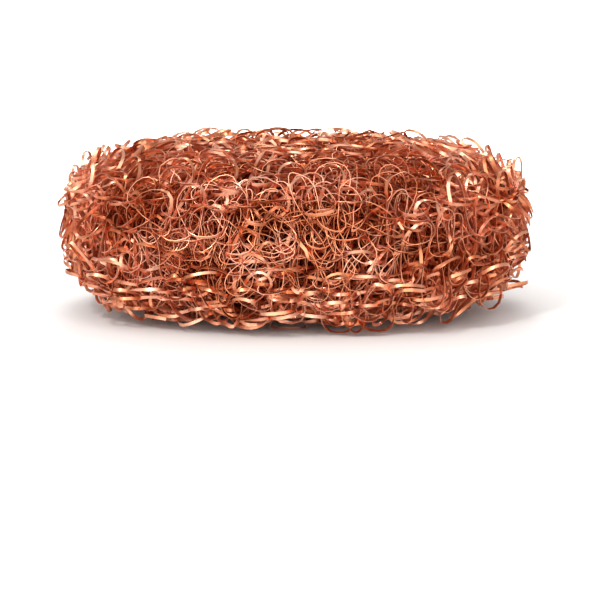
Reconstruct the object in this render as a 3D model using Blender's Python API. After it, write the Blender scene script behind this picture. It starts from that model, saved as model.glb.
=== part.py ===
# A copper scourer: a sleeve knitted from one flat copper ribbon and turned over itself into
# an oval pad, with a tuck in the middle of each side. The knit of the outer turn is modelled
# loop by loop, and the turns inside it are one solid. Metres, +Z up. The origin is under the
# middle of the pad, on the surface that it rests on, with the long way of the pad along X.

import math

import bmesh
import bpy
import numpy as np
from mathutils import Matrix, Vector, noise

# Outer size of the pad, over the loops of the knit.
PAD_LENGTH = 0.096
PAD_DEPTH = 0.079
PAD_THICKNESS = 0.0355

# Fullness of the outlines from above and from the side: 2 is an ellipse, more is squarer.
PLAN_FULLNESS = 2.4
SIDE_FULLNESS = 3.1

# How far the loops underneath are pressed flat by the pad's own weight.
PRESSED_FLAT = 0.0019

# The tuck in the middle of each side, where the sleeve turns back into the pad.
TUCK_DEPTH = 0.010
TUCK_RADIUS = 0.0095

# How far the turns inside close up again at the bottom of each tuck.
TUCK_FILL = 0.0018

# The rolled turns: the pleats that gather into each tuck, and the grooves between turns.
PLEAT_COUNT = 14
PLEAT_HEIGHT = 0.0009
TURN_GROOVE_DEPTH = 0.0013
TURN_GROOVE_WIDTH = 0.003
RIM_GROOVE_LEVEL = 0.012
FACE_GROOVE_RADIUS = 0.024

# The ribbon: how wide its flat side is, how deep it is under that, and how far it twists.
RIBBON_WIDTH = 0.0015
RIBBON_THICKNESS = 0.0007
RIBBON_TWIST = 0.5

# The knit: loops round the pad, the step from course to course, how tall and how round a
# loop is, how far its ends stand out over its legs, and its unevenness.
LOOPS_ROUND = 24
COURSE_STEP = 0.0090
LOOP_RISE = 0.0077
LOOP_ROUNDNESS = 0.21
LOOP_STANDOUT = 0.0014
KNIT_START_RADIUS = 0.012
UNEVENNESS = 0.0014
NOISE_SIZE = 0.014
NOISE_SEED = 7

# The turns inside lie this far under the lowest loops, and every so many loops one leg
# reaches down to them and this much further.
TURNS_CLEARANCE = 0.0011
LOOPS_PER_CATCH = 29
CATCH_DEPTH = 0.0022

COPPER_COLOUR = (0.83, 0.36, 0.22, 1.0)
COPPER_ROUGHNESS = 0.3

POINTS_PER_LOOP = 8
TURN_COLUMNS = 40
TURN_ROWS = 14
MERIDIAN_SAMPLES = 400
RIM_SHARE = 0.7
NORMAL_STEP = 0.0008
TWIST_SIZE = 0.008
RIBBON_SECTION = ((-0.5, 0.5), (0.5, 0.5), (0.0, -0.5))


def clear_scene():
    for obj in list(bpy.data.objects):
        bpy.data.objects.remove(obj, do_unlink=True)


def copper():
    material = bpy.data.materials.new("copper_ribbon")
    material.use_nodes = True
    shader = material.node_tree.nodes["Principled BSDF"]
    shader.inputs["Base Color"].default_value = COPPER_COLOUR
    shader.inputs["Metallic"].default_value = 1.0
    shader.inputs["Roughness"].default_value = COPPER_ROUGHNESS
    return material


def power_of(value, fullness):
    return math.copysign(abs(value) ** (2 / fullness), value)


def bump(distance, width):
    return math.exp(-((distance / width) ** 2))


class PadForm:
    # The smooth form that the middle of the knit follows. A point on it is given by the
    # turn round the pad, in radians, and by how far along the sleeve it lies, in metres
    # from the upper tuck over the rim to the lower tuck.

    def __init__(self):
        self.inset = LOOP_STANDOUT + RIBBON_THICKNESS / 2
        self.half_length = PAD_LENGTH / 2 - self.inset
        self.half_depth = PAD_DEPTH / 2 - self.inset
        self.mean_radius = (self.half_length + self.half_depth) / 2
        self.half_thickness = (PAD_THICKNESS + PRESSED_FLAT) / 2 - self.inset
        self.middle = (PAD_THICKNESS - PRESSED_FLAT) / 2
        angles = np.linspace(math.pi / 2, -math.pi / 2, MERIDIAN_SAMPLES)
        self.reach = np.array([power_of(math.cos(a), SIDE_FULLNESS) for a in angles])
        self.reach[[0, -1]] = 0.0
        self.level = np.array([self.level_at(r, a) for r, a in zip(self.reach, angles)])
        steps = np.hypot(np.diff(self.reach * self.mean_radius), np.diff(self.level))
        self.travel = np.concatenate([[0.0], np.cumsum(steps)])
        self.sleeve_length = float(self.travel[-1])

    def level_at(self, reach, angle):
        side = math.copysign(1.0, math.sin(angle))
        level = self.half_thickness * abs(math.sin(angle)) ** (2 / SIDE_FULLNESS)
        level -= TUCK_DEPTH * bump(reach * self.mean_radius, TUCK_RADIUS)
        return self.middle + side * level

    def smooth_point(self, turn, along):
        reach = float(np.interp(along, self.travel, self.reach))
        level = float(np.interp(along, self.travel, self.level))
        x = self.half_length * power_of(math.cos(turn), PLAN_FULLNESS)
        y = self.half_depth * power_of(math.sin(turn), PLAN_FULLNESS)
        return Vector((x * reach, y * reach, level))

    def outward(self, turn, along):
        angle = NORMAL_STEP / self.half_depth
        above = self.smooth_point(turn, along - NORMAL_STEP)
        down = self.smooth_point(turn, along + NORMAL_STEP) - above
        across = self.smooth_point(turn + angle, along) - self.smooth_point(turn - angle, along)
        return down.cross(across).normalized()

    def along_at_radius(self, radius):
        # How far along the sleeve its upper side is this far from the pad's middle.
        upper = slice(0, MERIDIAN_SAMPLES // 2)
        return float(np.interp(radius / self.mean_radius, self.reach[upper], self.travel[upper]))


def settled(form, turn, along, height):
    # A point this high over the smooth form, moved by the pleats that spread from the tucks
    # and die out before the rim, by the grooves that part the turns, and by the unevenness.
    smooth = form.smooth_point(turn, along)
    radius = math.hypot(smooth.x, smooth.y)
    rim_share = min(radius / form.half_depth, 1.0)
    height += PLEAT_HEIGHT * math.cos(PLEAT_COUNT * turn) * 4 * rim_share * (1 - rim_share)
    height -= TURN_GROOVE_DEPTH * bump(radius - FACE_GROOVE_RADIUS, TURN_GROOVE_WIDTH)
    if rim_share > RIM_SHARE:
        height -= TURN_GROOVE_DEPTH * bump(smooth.z - RIM_GROOVE_LEVEL, TURN_GROOVE_WIDTH)
    uneven = noise.noise_vector(smooth / NOISE_SIZE) * UNEVENNESS
    return smooth + form.outward(turn, along) * height + uneven


def wrapped_grid(name, columns, rows, place):
    # A grid primitive whose vertices go where place(column, row) says, with the edges that
    # then meet welded together and any open end filled.
    skin = bmesh.new()
    bmesh.ops.create_grid(skin, x_segments=columns, y_segments=rows, size=0.5)
    for vertex in skin.verts:
        column = round((vertex.co.x + 0.5) * columns)
        row = round((vertex.co.y + 0.5) * rows)
        vertex.co = place(column, row)
    bmesh.ops.remove_doubles(skin, verts=skin.verts, dist=1e-6)
    bmesh.ops.holes_fill(skin, edges=skin.edges)
    bmesh.ops.recalc_face_normals(skin, faces=skin.faces)
    mesh = bpy.data.meshes.new(name)
    skin.to_mesh(mesh)
    skin.free()
    return bpy.data.objects.new(name, mesh)


def inner_turns(form):
    # The surface of the turns inside, just under the knit.
    depth = LOOP_STANDOUT + RIBBON_THICKNESS / 2 + TURNS_CLEARANCE

    def place(column, row):
        turn = 2 * math.pi * (column % TURN_COLUMNS) / TURN_COLUMNS
        along = form.sleeve_length * row / TURN_ROWS
        if row in (0, TURN_ROWS):
            side = 1 if row == 0 else -1
            return form.smooth_point(0.0, along) - Vector((0, 0, side * (depth - TUCK_FILL)))
        return settled(form, turn, along, -depth)

    return wrapped_grid("scourer", TURN_COLUMNS, TURN_ROWS, place)


def ribbon_frame(form, loops):
    # The middle of the ribbon after this many loops, and the way its flat side faces. The
    # ribbon goes round and round the pad, a course further at each round. Every loop runs
    # up behind the course before it, over in front, and down behind it again.
    phase = 2 * math.pi * loops
    start = form.along_at_radius(KNIT_START_RADIUS)
    turn = 2 * math.pi * (loops + LOOP_ROUNDNESS * math.sin(2 * phase)) / LOOPS_ROUND
    along = start + COURSE_STEP * loops / LOOPS_ROUND - LOOP_RISE * math.cos(phase)
    height = LOOP_STANDOUT * math.cos(2 * phase)
    behind = max(-math.cos(2 * phase), 0.0)
    if int(loops) % LOOPS_PER_CATCH == 0 and loops % 1 < 0.5:
        height -= CATCH_DEPTH * behind
    return settled(form, turn, along, height), form.outward(turn, along)


def outer_knit(form):
    knit_length = form.sleeve_length - 2 * form.along_at_radius(KNIT_START_RADIUS)
    loops = round(knit_length / COURSE_STEP) * LOOPS_ROUND
    steps = loops * POINTS_PER_LOOP
    frames = [ribbon_frame(form, (step + 0.5) / POINTS_PER_LOOP) for step in range(steps + 1)]

    def place(column, row):
        middle, outward = frames[column]
        way = frames[min(column + 1, steps)][0] - frames[max(column - 1, 0)][0]
        twist = RIBBON_TWIST * noise.noise(middle / TWIST_SIZE)
        rise = Matrix.Rotation(twist, 3, way) @ outward
        across = way.cross(rise).normalized()
        side, high = RIBBON_SECTION[row % len(RIBBON_SECTION)]
        spot = middle + across * side * RIBBON_WIDTH + rise * high * RIBBON_THICKNESS
        spot.z = max(spot.z, (RIBBON_SECTION[0][1] - high) * RIBBON_THICKNESS)
        return spot

    return wrapped_grid("knit", steps, len(RIBBON_SECTION), place)


def centre_over_origin(knit, pad):
    # The unevenness of the knit leaves its outline a little off the middle.
    places = np.array([vertex.co for vertex in knit.data.vertices])
    middle = (places.min(axis=0) + places.max(axis=0)) / 2
    for obj in (knit, pad):
        obj.data.transform(Matrix.Translation((-middle[0], -middle[1], 0.0)))


def main():
    clear_scene()
    noise.seed_set(NOISE_SEED)
    form = PadForm()
    collection = bpy.data.collections.new("copper_scourer")
    bpy.context.scene.collection.children.link(collection)
    helpers = bpy.data.collections.new("joined_pieces")
    bpy.context.scene.collection.children.link(helpers)
    pad = inner_turns(form)
    knit = outer_knit(form)
    centre_over_origin(knit, pad)
    collection.objects.link(pad)
    helpers.objects.link(knit)
    pad.data.materials.append(copper())
    knit.hide_render = True
    knit.display_type = "WIRE"
    join = pad.modifiers.new("knit", "BOOLEAN")
    join.operation = "UNION"
    join.solver = "MANIFOLD"
    join.object = knit


main()
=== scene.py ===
# Copper scourer: an oval pad of knitted copper ribbon, seen from just above its front.
# The knit is made at its real size: every turn of the sleeve is one long run of loops that
# follows a path wound round the pad, from the tuck on top to the tuck underneath.

import math

import bpy
import numpy as np
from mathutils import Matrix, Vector, noise


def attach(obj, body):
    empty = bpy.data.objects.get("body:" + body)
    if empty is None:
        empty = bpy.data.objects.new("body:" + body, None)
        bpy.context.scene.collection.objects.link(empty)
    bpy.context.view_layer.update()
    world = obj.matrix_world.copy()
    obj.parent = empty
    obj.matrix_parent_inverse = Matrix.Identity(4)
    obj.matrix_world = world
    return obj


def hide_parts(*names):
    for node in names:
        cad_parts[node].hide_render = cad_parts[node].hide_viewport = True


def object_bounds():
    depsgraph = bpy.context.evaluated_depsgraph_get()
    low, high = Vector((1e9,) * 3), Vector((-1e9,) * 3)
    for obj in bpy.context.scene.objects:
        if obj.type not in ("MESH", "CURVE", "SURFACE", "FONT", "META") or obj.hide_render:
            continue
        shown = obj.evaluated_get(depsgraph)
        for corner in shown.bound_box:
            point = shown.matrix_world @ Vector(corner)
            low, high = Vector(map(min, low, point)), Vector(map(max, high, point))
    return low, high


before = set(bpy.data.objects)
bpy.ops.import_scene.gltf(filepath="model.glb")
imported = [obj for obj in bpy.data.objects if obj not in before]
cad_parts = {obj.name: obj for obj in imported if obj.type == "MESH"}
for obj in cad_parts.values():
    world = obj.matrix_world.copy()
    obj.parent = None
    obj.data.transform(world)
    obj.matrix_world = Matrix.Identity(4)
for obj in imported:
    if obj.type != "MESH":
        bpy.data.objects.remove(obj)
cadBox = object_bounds()
mm = 0.001


def hexColour(code):
    # sRGB hex to the linear values that shaders take
    channels = [int(code[i : i + 2], 16) / 255 for i in (0, 2, 4)]
    linear = [c / 12.92 if c <= 0.04045 else ((c + 0.055) / 1.055) ** 2.4 for c in channels]
    return (*linear, 1.0)


def addNode(tree, kind, inputs=None, **settings):
    # One node with its settings; an input is a value or the socket that feeds it.
    node = tree.nodes.new(kind)
    for name, value in settings.items():
        setattr(node, name, value)
    for name, value in (inputs or {}).items():
        if isinstance(value, bpy.types.NodeSocket):
            tree.links.new(value, node.inputs[name])
        else:
            node.inputs[name].default_value = value
    return node


# Copper ribbon

copperLook = {
    "outer": ("f0ad8f", "d9875f", "aa5a3b"),  # bright, deep and tarnished
    "inner": ("da895c", "ba5c36", "8e3f21"),  # painted shade: darker, redder copper for the deeper turns, standing in for the shade and inter-reflection deep inside the pad
    "tarnishedUpTo": 0.3,
    "deepAt": 0.42,
    "brightFrom": 0.62,
    "smoothest": 0.27,
    "roughest": 0.43,
    "patchMm": 9.0,
    "rollLineMm": 0.5,
    "lineContrast": (0.3, 0.7),
}


def copperRibbon(name, bright, deep, tarnish):
    # Bare copper, rolled flat: bright and smooth along the strip, with faint lines from the
    # rolls, and a little redder and duller in patches where air has reached it longer. The
    # strip is too narrow for bump to show, so the lines are in its roughness alone.
    material = bpy.data.materials.new(name)
    material.use_nodes = True
    tree = material.node_tree
    shader = tree.nodes["Principled BSDF"]
    place = addNode(tree, "ShaderNodeTexCoord").outputs["Object"]
    patches = addNode(
        tree,
        "ShaderNodeTexNoise",
        {"Vector": place, "Scale": 1 / (copperLook["patchMm"] * mm), "Detail": 3.0},
    )
    lines = addNode(
        tree,
        "ShaderNodeTexNoise",
        {"Vector": place, "Scale": 1 / (copperLook["rollLineMm"] * mm), "Detail": 1.0},
    )
    tint = addNode(tree, "ShaderNodeValToRGB", {"Fac": patches.outputs["Fac"]})
    ramp = tint.color_ramp
    ramp.elements[0].position = copperLook["tarnishedUpTo"]
    ramp.elements[0].color = hexColour(tarnish)
    ramp.elements[1].position = copperLook["brightFrom"]
    ramp.elements[1].color = hexColour(bright)
    middle = ramp.elements.new(copperLook["deepAt"])
    middle.color = hexColour(deep)
    gloss = addNode(
        tree,
        "ShaderNodeMapRange",
        {
            "Value": lines.outputs["Fac"],
            "From Min": copperLook["lineContrast"][0],
            "From Max": copperLook["lineContrast"][1],
            "To Min": copperLook["smoothest"],
            "To Max": copperLook["roughest"],
        },
    )
    tree.links.new(tint.outputs["Color"], shader.inputs["Base Color"])
    tree.links.new(gloss.outputs["Result"], shader.inputs["Roughness"])
    shader.inputs["Metallic"].default_value = 1.0
    return material


# Form of the pad

padForm = {
    "planFullness": 2.4,  # 2 is an ellipse, more is squarer
    "sideFullness": 3.1,
    "loopsOverPathMm": 1.2,  # how far the loops reach out past the path that they follow
    "tuckDepthMm": 10.0,
    "tuckRadiusMm": 9.5,
    "tuckMost": 0.8,  # no tuck goes deeper than this share of the way to the middle
    "pleats": 14,
    "pleatMm": 0.9,
    "grooveMm": 1.6,
    "grooveWidthMm": 2.6,
    "rimGrooveLevelMm": 12.0,
    "rimFrom": 0.7,  # share of the way out from which the rim counts
    "faceGrooveRadiusMm": 24.0,
    "reliefFadesMm": 9.0,  # pleats and grooves die out this far inside
    "unevenMm": 1.3,
    "unevenSizeMm": 17.0,
    "pulledMm": 7.0,
    "pulledSizeMm": 19.0,
    "pulledFromMm": 8.0,  # nearer the middle the pull turns the courses no further
    "pressedMm": 1.2,  # loops lower than this are pressed level by the weight
    "proudMm": 0.9,  # how far past the box a loop may stand
    "crowdedMm": 2.5,  # loops crowd together from this far inside that
    "chance": 7,
    "outlineSteps": 400,
    "slopeStepMm": 0.5,
}


def powerOf(value, fullness):
    return math.copysign(abs(value) ** (2 / fullness), value)


def bump(distance, width):
    return math.exp(-((distance / width) ** 2))


class Turn:
    # One turn of the sleeve: a closed oval form this far inside the pad's outer surface.
    def __init__(self, inset):
        low, high = (Vector(corner) for corner in cadBox)
        size = high - low
        reachOut = inset + padForm["loopsOverPathMm"] * mm
        self.inset = inset
        self.halfLength = size.x / 2 - reachOut
        self.halfDepth = size.y / 2 - reachOut
        self.halfHeight = size.z / 2 - reachOut
        self.middle = low.z + size.z / 2
        self.meanRadius = (self.halfLength + self.halfDepth) / 2
        angles = np.linspace(math.pi / 2, -math.pi / 2, padForm["outlineSteps"])
        self.reach = [powerOf(math.cos(a), padForm["sideFullness"]) for a in angles]
        self.level = [self.levelAt(r, a) for r, a in zip(self.reach, angles)]
        steps = np.hypot(np.diff(self.reach) * self.meanRadius, np.diff(self.level))
        self.travel = np.concatenate([[0.0], np.cumsum(steps)])
        self.length = float(self.travel[-1])

    def levelAt(self, reach, angle):
        side = math.copysign(1.0, math.sin(angle))
        level = self.halfHeight * abs(math.sin(angle)) ** (2 / padForm["sideFullness"])
        tuck = min(padForm["tuckDepthMm"] * mm, self.halfHeight * padForm["tuckMost"])
        level -= tuck * bump(reach * self.meanRadius, padForm["tuckRadiusMm"] * mm)
        return self.middle + side * level

    def smoothPoint(self, turn, along):
        reach = float(np.interp(along, self.travel, self.reach))
        level = float(np.interp(along, self.travel, self.level))
        x = self.halfLength * powerOf(math.cos(turn), padForm["planFullness"])
        y = self.halfDepth * powerOf(math.sin(turn), padForm["planFullness"])
        return Vector((x * reach, y * reach, level))

    def outward(self, turn, along):
        step = padForm["slopeStepMm"] * mm
        angle = step / self.halfDepth
        down = self.smoothPoint(turn, along + step) - self.smoothPoint(turn, along - step)
        across = self.smoothPoint(turn + angle, along) - self.smoothPoint(turn - angle, along)
        return down.cross(across).normalized()

    def pulledAside(self, turn, along, seed):
        # Handling pulls the courses out of line, so they bend up and down over the pad.
        smooth = self.smoothPoint(turn, along)
        radius = max(math.hypot(smooth.x, smooth.y), padForm["pulledFromMm"] * mm)
        place = smooth / (padForm["pulledSizeMm"] * mm) + Vector((seed, 0, 0))
        pull = noise.noise_vector(place) * padForm["pulledMm"] * mm
        along = min(max(along + pull.x, 0.0), self.length)
        return turn + pull.y / radius, along

    def settled(self, turn, along, seed):
        # The smooth point moved by pleats, by the grooves between turns and by chance.
        turn, along = self.pulledAside(turn, along, seed)
        smooth = self.smoothPoint(turn, along)
        outward = self.outward(turn, along)
        radius = math.hypot(smooth.x, smooth.y)
        share = min(radius / self.halfDepth, 1.0)
        fade = max(0.0, 1 - self.inset / (padForm["reliefFadesMm"] * mm))
        relief = padForm["pleatMm"] * math.cos(padForm["pleats"] * turn) * 4 * share * (1 - share)
        face = radius - padForm["faceGrooveRadiusMm"] * mm
        relief -= padForm["grooveMm"] * bump(face, padForm["grooveWidthMm"] * mm)
        if share > padForm["rimFrom"]:
            rim = smooth.z - padForm["rimGrooveLevelMm"] * mm
            relief -= padForm["grooveMm"] * bump(rim, padForm["grooveWidthMm"] * mm)
        chance = noise.noise_vector(smooth / (padForm["unevenSizeMm"] * mm) + Vector((0, 0, seed)))
        uneven = chance * padForm["unevenMm"] * mm
        return smooth + outward * relief * fade * mm + uneven, outward


# Knit

knit = {
    "turns": 10,
    "firstInsetMm": 0.2,
    "turnSpacingMm": 1.1,
    "spacingGrowth": 1.12,  # each turn lies this much further in than the one before
    "stitchMm": 6.0,
    "courseMm": 4.2,
    "loopRiseMm": 6.2,
    "riseShares": (0.5, 1.5),  # the least and the most of it that a loop has
    "loopRoundMm": 1.6,
    "roundShares": (0.4, 1.9),
    "standOutMm": 0.5,
    "loopsAlike": 0.6,  # less makes neighbouring loops more alike
    "ribbonMm": 0.64,
    "ribbonThickMm": 0.11,
    "squareCorner": 0.9,  # in radians; edges sharper than this stay sharp
    "twist": 10.0,
    "twistsAlike": 0.55,
    "wanderMm": 5.0,
    "wanderSizeMm": 13.0,
    "wanderDetail": 0.5,
    "pathStepMm": 2.5,
    "startRadiusMm": 3.0,
    "leastRadiusMm": 2.0,
    "startAngle": 2.4,  # each turn starts this far round from the one before
    "seedStep": 7.3,
    "pointsPerStitch": 24,
    "pointsPerInnerStitch": 14,
    "outerTurns": 4,  # those with the finer points
    # turns after these get the inner copper: painted shade, darker for the depth of the pad
    "turnsWithoutPaintedShade": 3,
}


def pathRoundPad(turn, seed):
    # A path that winds round this turn, a course further on at every round, kept as a mesh
    # of edges whose points know which way is outward.
    step = knit["pathStepMm"] * mm
    course = knit["courseMm"] * mm
    angle = seed * knit["startAngle"]
    along = knit["startRadiusMm"] * mm
    points, normals = [], []
    while along < turn.length - knit["startRadiusMm"] * mm:
        point, outward = turn.settled(angle, along, seed)
        points.append(point)
        normals.append(outward)
        radius = max(math.hypot(point.x, point.y), knit["leastRadiusMm"] * mm)
        angle += step / radius
        along += course * step / (2 * math.pi * radius)
    mesh = bpy.data.meshes.new("path")
    edges = [(i, i + 1) for i in range(len(points) - 1)]
    mesh.from_pydata(points, edges, [])
    outwardData = mesh.attributes.new("outward", "FLOAT_VECTOR", "POINT")
    outwardData.data.foreach_set("vector", [c for normal in normals for c in normal])
    return mesh


def knitTree():
    # Loops of flat ribbon along a path: each loop swings across the path and bulges along
    # it, its ends stand out over its legs, and the ribbon keeps its edge to the outside.
    tree = bpy.data.node_groups.new("ribbonKnit", "GeometryNodeTree")
    face = tree.interface
    face.new_socket("Path", in_out="INPUT", socket_type="NodeSocketGeometry")
    names = (
        "Stitch", "Points Per Stitch", "Loop Rise", "Loop Round", "Stand Out",
        "Ribbon Width", "Ribbon Thickness", "Twist", "Wander", "Wander Size", "Seed",
    )
    for name in names:
        face.new_socket(name, in_out="INPUT", socket_type="NodeSocketFloat")
    face.new_socket("Material", in_out="INPUT", socket_type="NodeSocketMaterial")
    face.new_socket("Knit", in_out="OUTPUT", socket_type="NodeSocketGeometry")
    given = addNode(tree, "NodeGroupInput").outputs

    # Where each point is in its loop
    step = addNode(
        tree,
        "ShaderNodeMath",
        {0: given["Stitch"], 1: given["Points Per Stitch"]},
        operation="DIVIDE",
    )
    path = addNode(tree, "GeometryNodeMeshToCurve", {"Mesh": given["Path"]})
    strand = addNode(
        tree,
        "GeometryNodeResampleCurve",
        {"Curve": path.outputs["Curve"], "Length": step.outputs[0]},
        mode="LENGTH",
    )
    travelled = addNode(tree, "GeometryNodeSplineParameter").outputs["Length"]
    stitches = addNode(
        tree, "ShaderNodeMath", {0: travelled, 1: given["Stitch"]}, operation="DIVIDE"
    ).outputs[0]
    phase = addNode(
        tree, "ShaderNodeMath", {0: stitches, 1: 2 * math.pi}, operation="MULTIPLY"
    ).outputs[0]
    twice = addNode(
        tree, "ShaderNodeMath", {0: phase, 1: 2.0}, operation="MULTIPLY"
    ).outputs[0]

    # Chance: one value that drifts from loop to loop, and a wander in space
    drift = addNode(
        tree,
        "ShaderNodeTexNoise",
        {"W": stitches, "Scale": knit["loopsAlike"], "Detail": 0.0},
        noise_dimensions="1D",
    ).outputs["Color"]
    drifts = addNode(tree, "ShaderNodeSeparateXYZ", {"Vector": drift}).outputs
    shares = []
    for value, (least, most) in (("X", knit["riseShares"]), ("Y", knit["roundShares"])):
        share = addNode(
            tree,
            "ShaderNodeMapRange",
            {
                "Value": drifts[value],
                "From Min": 0.3,
                "From Max": 0.7,
                "To Min": least,
                "To Max": most,
            },
        )
        shares.append(share.outputs["Result"])
    riseShare, roundShare = shares
    here = addNode(tree, "GeometryNodeInputPosition").outputs["Position"]
    apart = addNode(
        tree, "ShaderNodeCombineXYZ", {"X": given["Seed"], "Y": given["Seed"]}
    ).outputs["Vector"]
    scaled = addNode(
        tree,
        "ShaderNodeVectorMath",
        {0: here, 1: given["Wander Size"]},
        operation="DIVIDE",
    ).outputs["Vector"]
    moved = addNode(
        tree, "ShaderNodeVectorMath", {0: scaled, 1: apart}, operation="ADD"
    ).outputs["Vector"]
    wanderNoise = addNode(
        tree,
        "ShaderNodeTexNoise",
        {"Vector": moved, "Scale": 1.0, "Detail": knit["wanderDetail"]},
    ).outputs["Color"]
    centred = addNode(
        tree,
        "ShaderNodeVectorMath",
        {0: wanderNoise, 1: (0.5, 0.5, 0.5)},
        operation="SUBTRACT",
    ).outputs["Vector"]
    wander = addNode(
        tree, "ShaderNodeVectorMath", {0: centred, "Scale": given["Wander"]}, operation="SCALE"
    ).outputs["Vector"]

    # The three swings of a loop
    outward = addNode(
        tree, "GeometryNodeInputNamedAttribute", {"Name": "outward"}, data_type="FLOAT_VECTOR"
    ).outputs["Attribute"]
    forward = addNode(tree, "GeometryNodeInputTangent").outputs["Tangent"]
    aside = addNode(
        tree, "ShaderNodeVectorMath", {0: outward, 1: forward}, operation="CROSS_PRODUCT"
    ).outputs["Vector"]
    swings = []
    for way, wave, angle, size, share in (
        (forward, "SINE", twice, given["Loop Round"], roundShare),
        (aside, "COSINE", phase, given["Loop Rise"], riseShare),
        (outward, "COSINE", twice, given["Stand Out"], roundShare),
    ):
        swing = addNode(tree, "ShaderNodeMath", {0: angle}, operation=wave).outputs[0]
        sized = addNode(
            tree, "ShaderNodeMath", {0: swing, 1: size}, operation="MULTIPLY"
        ).outputs[0]
        varied = addNode(
            tree, "ShaderNodeMath", {0: sized, 1: share}, operation="MULTIPLY"
        ).outputs[0]
        swings.append(
            addNode(
                tree, "ShaderNodeVectorMath", {0: way, "Scale": varied}, operation="SCALE"
            ).outputs["Vector"]
        )
    total = wander
    for swing in swings:
        total = addNode(
            tree, "ShaderNodeVectorMath", {0: total, 1: swing}, operation="ADD"
        ).outputs["Vector"]
    looped = addNode(
        tree,
        "GeometryNodeSetPosition",
        {"Geometry": strand.outputs["Curve"], "Offset": total},
    ).outputs["Geometry"]

    # The ribbon stands on its edge, and twists here and there
    upright = addNode(
        tree,
        "GeometryNodeSetCurveNormal",
        {"Curve": looped, "Normal": outward},
        mode="FREE",
    ).outputs["Curve"]
    twistNoise = addNode(
        tree,
        "ShaderNodeTexNoise",
        {"W": stitches, "Scale": knit["twistsAlike"], "Detail": 0.0},
        noise_dimensions="1D",
    ).outputs["Fac"]
    twistCentred = addNode(
        tree, "ShaderNodeMath", {0: twistNoise, 1: 0.5}, operation="SUBTRACT"
    ).outputs[0]
    twistSquared = addNode(
        tree, "ShaderNodeMath", {0: twistCentred, 1: twistCentred}, operation="MULTIPLY"
    ).outputs[0]
    twistBy = addNode(
        tree, "ShaderNodeMath", {0: twistSquared, 1: given["Twist"]}, operation="MULTIPLY"
    ).outputs[0]
    tilted = addNode(
        tree, "GeometryNodeSetCurveTilt", {"Curve": upright, "Tilt": twistBy}
    ).outputs["Curve"]
    section = addNode(
        tree,
        "GeometryNodeCurvePrimitiveQuadrilateral",
        {"Width": given["Ribbon Width"], "Height": given["Ribbon Thickness"]},
    ).outputs["Curve"]
    ribbon = addNode(
        tree,
        "GeometryNodeCurveToMesh",
        {"Curve": tilted, "Profile Curve": section, "Fill Caps": True},
    ).outputs["Mesh"]
    smooth = addNode(
        tree, "GeometryNodeSetShadeSmooth", {"Geometry": ribbon, "Shade Smooth": True}
    ).outputs["Geometry"]
    corner = addNode(tree, "GeometryNodeInputMeshEdgeAngle").outputs["Unsigned Angle"]
    square = addNode(
        tree,
        "FunctionNodeCompare",
        {"A": corner, "B": knit["squareCorner"]},
        operation="GREATER_THAN",
    ).outputs["Result"]
    edged = addNode(
        tree,
        "GeometryNodeSetShadeSmooth",
        {"Geometry": smooth, "Selection": square, "Shade Smooth": False},
        domain="EDGE",
    ).outputs["Geometry"]
    realised = addNode(
        tree, "GeometryNodeRealizeInstances", {"Geometry": edged}
    ).outputs["Geometry"]
    finished = addNode(
        tree,
        "GeometryNodeSetMaterial",
        {"Geometry": realised, "Material": given["Material"]},
    ).outputs["Geometry"]
    addNode(tree, "NodeGroupOutput", {"Knit": finished})
    return tree


def keepInside(mesh):
    # Loops that would reach past the pad crowd together just inside it: under it they are
    # pressed level by its weight, and elsewhere they may stand a little proud.
    places = np.empty(len(mesh.vertices) * 3)
    mesh.vertices.foreach_get("co", places)
    places = places.reshape(-1, 3)
    for axis in range(3):
        for side in (-1, 1):
            under = axis == 2 and side < 0
            proud = 0.0 if under else padForm["proudMm"] * mm
            knee = padForm["pressedMm" if under else "crowdedMm"] * mm
            limit = side * cadBox[0 if side < 0 else 1][axis] + proud
            over = np.maximum(side * places[:, axis] - (limit - knee), 0)
            places[:, axis] -= side * (over - knee * (1 - np.exp(-over / knee)))
    mesh.vertices.foreach_set("co", places.ravel())
    mesh.update()


def knitTurn(index, inset, tree, material):
    # One turn of the sleeve as a plain mesh of ribbon.
    guide = bpy.data.objects.new(f"path_{index}", pathRoundPad(Turn(inset), index))
    bpy.context.scene.collection.objects.link(guide)
    modifier = guide.modifiers.new("knit", "NODES")
    modifier.node_group = tree
    outer = index < knit["outerTurns"]
    values = {
        "Stitch": knit["stitchMm"] * mm,
        "Points Per Stitch": float(knit["pointsPerStitch" if outer else "pointsPerInnerStitch"]),
        "Loop Rise": -knit["loopRiseMm"] * mm,
        "Loop Round": knit["loopRoundMm"] * mm,
        "Stand Out": knit["standOutMm"] * mm,
        "Ribbon Width": knit["ribbonMm"] * mm,
        "Ribbon Thickness": knit["ribbonThickMm"] * mm,
        "Twist": knit["twist"],
        "Wander": knit["wanderMm"] * mm,
        "Wander Size": knit["wanderSizeMm"] * mm,
        "Seed": knit["seedStep"] * index,
        "Material": material,
    }
    for socket in tree.interface.items_tree:
        if socket.in_out == "INPUT" and socket.name in values:
            modifier[socket.identifier] = values[socket.name]
    bpy.context.view_layer.update()
    evaluated = guide.evaluated_get(bpy.context.evaluated_depsgraph_get())
    mesh = bpy.data.meshes.new_from_object(evaluated)
    keepInside(mesh)
    piece = bpy.data.objects.new(f"sleeve_turn_{index + 1}", mesh)
    bpy.context.scene.collection.objects.link(piece)
    bpy.data.objects.remove(guide, do_unlink=True)
    print("turn", index + 1, "inset mm", round(inset / mm, 1), "triangles", 2 * len(mesh.polygons))
    return piece


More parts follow.
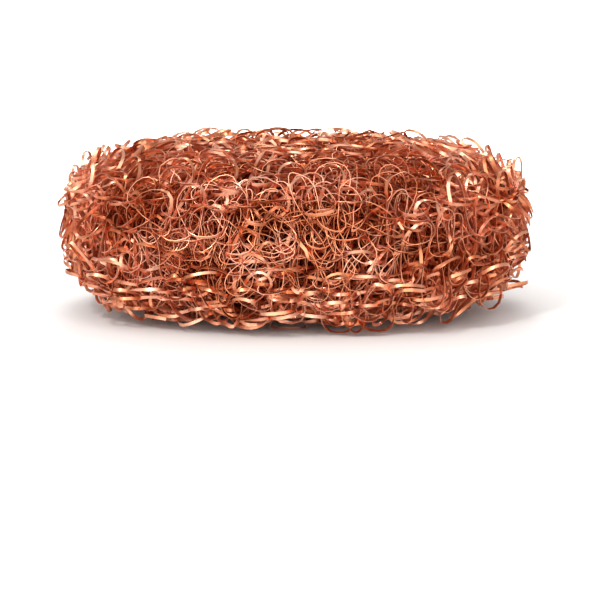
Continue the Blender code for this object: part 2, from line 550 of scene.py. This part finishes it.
noise.seed_set(padForm["chance"])
outerCopper = copperRibbon("rolledCopperRibbon", *copperLook["outer"])
# The inner copper is painted shade: its darker, redder colours on the deeper turns stand in for
# the shade inside the pad.
innerCopperPaintedShade = copperRibbon("paintedShadeCopperRibbon", *copperLook["inner"])
ribbonKnit = knitTree()
insets = [knit["firstInsetMm"]]
for turnNumber in range(1, knit["turns"]):
    gap = knit["turnSpacingMm"] * knit["spacingGrowth"] ** (turnNumber - 1)
    insets.append(insets[-1] + gap)
turns = []
for turnNumber, inset in enumerate(insets):
    copper = outerCopper if turnNumber < knit["turnsWithoutPaintedShade"] else innerCopperPaintedShade
    turns.append(knitTurn(turnNumber, inset * mm, ribbonKnit, copper))
for piece in turns:
    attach(piece, "root")
    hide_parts("scourer")
print("knit done:", len(turns), "turns")


# Floor, light and camera

middleOfPad = (0.0, 0.0, 0.02)
stage = {
    "floorColour": "f4f3f1",
    "floorRoughness": 0.9,
    "floorSize": 4.0,
    "floorUnderMm": 0.1,
    "worldColour": "ffffff",
    "worldStrength": 0.7,
    "elevation": 10.0,
    "distance": 0.518,
    "lensMm": 150.0,
    "aim": (0.0008, 0.0, 0.0018),
    # name, place, target, size across, watts and spread in degrees
    "lights": (
        ("keyLight", (-0.05, -0.92, 0.46), middleOfPad, 1.7, 13.5, 180.0),
        ("glintLight", (-0.35, -0.8, 0.7), middleOfPad, 0.12, 4.2, 180.0),
        ("floorLight", (0.0, 1.0, 0.9), (0.0, 1.0, 0.0), 1.2, 30.0, 70.0),
    ),
}


def paleFloor():
    bpy.ops.mesh.primitive_plane_add(size=stage["floorSize"])
    floor = bpy.context.active_object
    floor.name = "floor"
    floor.location.z = cadBox[0][2] - stage["floorUnderMm"] * mm
    material = bpy.data.materials.new("paleMattePaint")
    material.use_nodes = True
    shader = material.node_tree.nodes["Principled BSDF"]
    shader.inputs["Base Color"].default_value = hexColour(stage["floorColour"])
    shader.inputs["Roughness"].default_value = stage["floorRoughness"]
    floor.data.materials.append(material)


def softLight(name, place, target, size, power, spread):
    light = bpy.data.lights.new(name, "AREA")
    light.shape = "DISK"
    light.size = size
    light.energy = power
    light.spread = math.radians(spread)
    lamp = bpy.data.objects.new(name, light)
    lamp.location = place
    lamp.rotation_euler = (Vector(target) - Vector(place)).to_track_quat("-Z", "Y").to_euler()
    bpy.context.scene.collection.objects.link(lamp)


def photoCamera():
    lens = bpy.data.cameras.new("camera")
    lens.lens = stage["lensMm"]
    lens.sensor_width = 36.0
    camera = bpy.data.objects.new("camera", lens)
    elevation = math.radians(stage["elevation"])
    aim = Vector(stage["aim"])
    back = Vector((0, -math.cos(elevation), math.sin(elevation)))
    camera.location = aim + back * stage["distance"]
    camera.rotation_euler = (-back).to_track_quat("-Z", "Y").to_euler()
    bpy.context.scene.collection.objects.link(camera)
    bpy.context.scene.camera = camera


def softSky():
    world = bpy.data.worlds.new("world")
    world.use_nodes = True
    sky = world.node_tree.nodes["Background"]
    sky.inputs["Color"].default_value = hexColour(stage["worldColour"])
    sky.inputs["Strength"].default_value = stage["worldStrength"]
    bpy.context.scene.world = world


softSky()
paleFloor()
for lamp in stage["lights"]:
    softLight(*lamp)
photoCamera()
bpy.context.scene.view_settings.view_transform = "Standard"
print("stage done")
